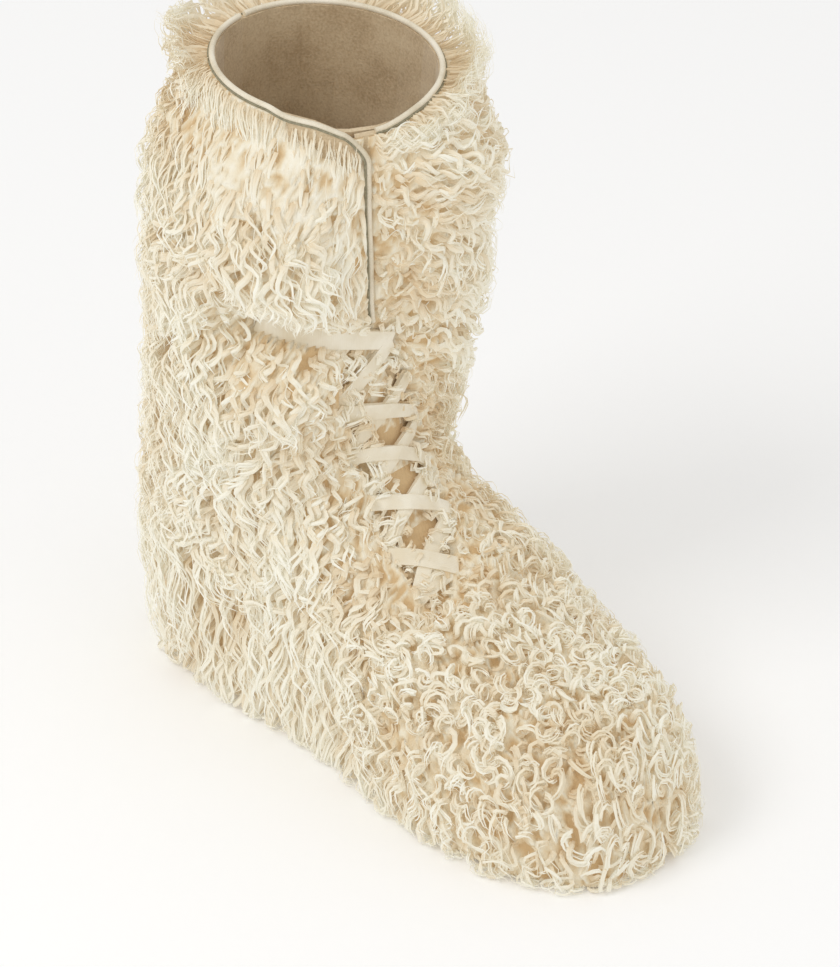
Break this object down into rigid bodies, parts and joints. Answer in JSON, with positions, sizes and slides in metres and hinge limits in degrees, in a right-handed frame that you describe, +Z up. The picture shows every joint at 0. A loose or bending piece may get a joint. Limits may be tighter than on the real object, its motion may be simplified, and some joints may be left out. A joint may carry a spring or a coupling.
{
  "type": "sheepskin combat boot",
  "caption": "Mid-height lace-up sheepskin boot with long curly wool outside, a lapped and piped collar, a padded tongue and a lugged rubber sole.",
  "frame": {"origin": "on the floor, at the middle of the heel's flat tread", "axes": "+X towards the toe, +Y towards the outer (lateral) side of this left boot, +Z up"},
  "size_m": [0.3006, 0.1546, 0.306],
  "materials": {
    "rubber": "matte moulded rubber",
    "lining": "short napped lining",
    "suede": "suede with short wool",
    "lace": "flat woven lace",
    "piping": "smooth round piping",
    "wool": "long curly wool"
  },
  "bodies": {
    "root": {"outsole": "rubber", "insole": "lining", "upper": "suede", "tongue": "suede", "lace": "lace", "binding_medial": "piping", "binding_lateral": "piping", "fleece_vamp": "wool", "fleece_quarter_medial": "wool", "fleece_quarter_lateral": "wool"}
  },
  "joints": []
}
